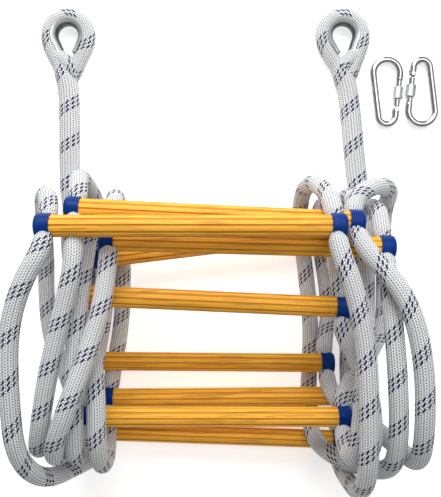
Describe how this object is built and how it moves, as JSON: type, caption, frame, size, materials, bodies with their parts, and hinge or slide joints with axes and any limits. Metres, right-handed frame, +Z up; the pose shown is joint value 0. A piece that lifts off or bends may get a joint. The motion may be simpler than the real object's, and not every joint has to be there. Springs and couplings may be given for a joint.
{
  "type": "rope ladder",
  "caption": "Rope ladder folded into a coil: fluted plastic rungs with end caps threaded on two braided ropes, each ending in a spliced eye with a thimble, and loose screw-gate hooks",
  "frame": {"origin": "middle of the folded ladder's box at the height of the surface it lies on", "axes": "+Z up from the surface, +Y from the coil towards the spliced eyes, along the longest side of the box, and +X to the right seen from above with the eyes at the top"},
  "size_m": [0.511, 0.5846, 0.2054],
  "materials": {
    "rung_plastic": "fluted yellow-orange plastic with a fine speckle, half gloss",
    "cap_plastic": "glossy blue plastic with a rounded closed end",
    "rope": "white double-braided rope with navy flecks, matte",
    "whipping": "white waxed twine, matte",
    "thimble_steel": "galvanised steel, bright rim and a duller channel",
    "hook_steel": "polished zinc-plated steel",
    "sleeve_steel": "satin zinc-plated steel"
  },
  "bodies": {
    "coil": {"rung_1_bar": "rung_plastic", "rung_1_left_cap": "cap_plastic", "rung_1_right_cap": "cap_plastic", "rung_2_bar": "rung_plastic", "rung_2_left_cap": "cap_plastic", "rung_2_right_cap": "cap_plastic", "rung_3_bar": "rung_plastic", "rung_3_left_cap": "cap_plastic", "rung_3_right_cap": "cap_plastic", "rung_4_bar": "rung_plastic", "rung_4_left_cap": "cap_plastic", "rung_4_right_cap": "cap_plastic", "rung_5_bar": "rung_plastic", "rung_5_left_cap": "cap_plastic", "rung_5_right_cap": "cap_plastic", "rung_6_bar": "rung_plastic", "rung_6_left_cap": "cap_plastic", "rung_6_right_cap": "cap_plastic", "rung_7_bar": "rung_plastic", "rung_7_left_cap": "cap_plastic", "rung_7_right_cap": "cap_plastic", "rung_8_bar": "rung_plastic", "rung_8_left_cap": "cap_plastic", "rung_8_right_cap": "cap_plastic", "rung_9_bar": "rung_plastic", "rung_9_left_cap": "cap_plastic", "rung_9_right_cap": "cap_plastic", "rung_10_bar": "rung_plastic", "rung_10_left_cap": "cap_plastic", "rung_10_right_cap": "cap_plastic", "left_rope": "rope", "right_rope": "rope", "left_end_whipping": "whipping", "right_end_whipping": "whipping"},
    "left_eye": {"left_eye_rope": "rope", "left_thimble": "thimble_steel"},
    "right_eye": {"right_eye_rope": "rope", "right_thimble": "thimble_steel"},
    "hook_1": {"hook_1_body": "hook_steel", "hook_1_rivet": "hook_steel"},
    "hook_1_gate": {"hook_1_gate": "hook_steel"},
    "hook_1_sleeve": {"hook_1_sleeve": "sleeve_steel"},
    "hook_2": {"hook_2_body": "hook_steel", "hook_2_rivet": "hook_steel"},
    "hook_2_gate": {"hook_2_gate": "hook_steel"},
    "hook_2_sleeve": {"hook_2_sleeve": "sleeve_steel"}
  },
  "joints": [
    {"name": "left_eye_lift", "type": "hinge", "parent": "coil", "child": "left_eye", "pos_m": [-0.21445, 0.08233, 0.013], "axis": [1, 0, 0], "range_deg": [0, 80]},
    {"name": "right_eye_lift", "type": "hinge", "parent": "coil", "child": "right_eye", "pos_m": [0.14885, 0.08233, 0.013], "axis": [1, 0, 0], "range_deg": [0, 80]},
    {"name": "hook_1_lift", "type": "slide", "parent": "coil", "child": "hook_1", "axis": [0, 0, 1], "range_m": [0, 0.15]},
    {"name": "hook_1_gate_swing", "type": "hinge", "parent": "hook_1", "child": "hook_1_gate", "pos_m": [0.20084, 0.16453, 0.0067], "axis": [0, 0, 1], "range_deg": [0, 25], "stiffness_Nm_per_rad": 0.05, "springref_deg": -17.19},
    {"name": "hook_1_sleeve_run", "type": "slide", "parent": "hook_1_gate", "child": "hook_1_sleeve", "axis": [0.1139, 0.9935, 0], "range_m": [0, 0.007]},
    {"name": "hook_2_lift", "type": "slide", "parent": "coil", "child": "hook_2", "axis": [0, 0, 1], "range_m": [0, 0.15]},
    {"name": "hook_2_gate_swing", "type": "hinge", "parent": "hook_2", "child": "hook_2_gate", "pos_m": [0.22226, 0.21053, 0.0067], "axis": [0, 0, 1], "range_deg": [0, 25], "stiffness_Nm_per_rad": 0.05, "springref_deg": -17.19},
    {"name": "hook_2_sleeve_run", "type": "slide", "parent": "hook_2_gate", "child": "hook_2_sleeve", "axis": [-0.1139, -0.9935, 0], "range_m": [0, 0.007]}
  ]
}
